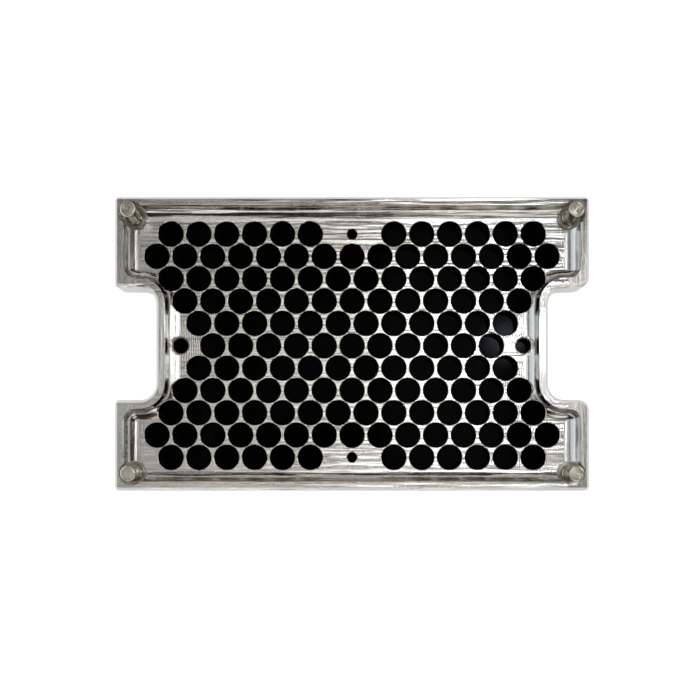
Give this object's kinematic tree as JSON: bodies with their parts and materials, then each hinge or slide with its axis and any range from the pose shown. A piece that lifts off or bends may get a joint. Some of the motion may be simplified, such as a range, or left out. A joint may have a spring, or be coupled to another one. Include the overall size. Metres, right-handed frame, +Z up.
{
  "type": "loading tray",
  "caption": "Perforated aluminium loading tray with a raised rim and hand notches, lifting off a black base on corner posts",
  "frame": {"origin": "bottom centre of the feet, on the surface it stands on", "axes": "+X along the long side, +Y along the short side to the back, +Z up"},
  "size_m": [0.226, 0.14, 0.028],
  "materials": {
    "milled_aluminium": "milled and lightly polished",
    "turned_bush": "turned",
    "turned_steel": "turned",
    "plated_screw": "zinc plated",
    "black_acetal": "semi-gloss",
    "black_rubber": "matt"
  },
  "bodies": {
    "base": {"base_plate": "black_acetal", "post_back_left": "turned_steel", "post_back_right": "turned_steel", "post_front_left": "turned_steel", "post_front_right": "turned_steel", "post_screws": "plated_screw", "foot_back_left": "black_rubber", "foot_back_right": "black_rubber", "foot_front_left": "black_rubber", "foot_front_right": "black_rubber", "foot_washers": "plated_screw", "foot_screws": "plated_screw"},
    "tray": {"tray_webs_up": "milled_aluminium", "tray_webs_down": "milled_aluminium", "tray_margin_even": "milled_aluminium", "tray_margin_odd": "milled_aluminium", "tray_cores": "milled_aluminium", "tray_rim": "milled_aluminium", "guide_bush_back_left": "turned_bush", "guide_bush_back_right": "turned_bush", "guide_bush_front_left": "turned_bush", "guide_bush_front_right": "turned_bush", "side_bush_left": "turned_bush", "side_bush_right": "turned_bush"}
  },
  "joints": [
    {"name": "tray_lift", "type": "slide", "parent": "base", "child": "tray", "axis": [0, 0, 1], "range_m": [0, 0.03]}
  ]
}
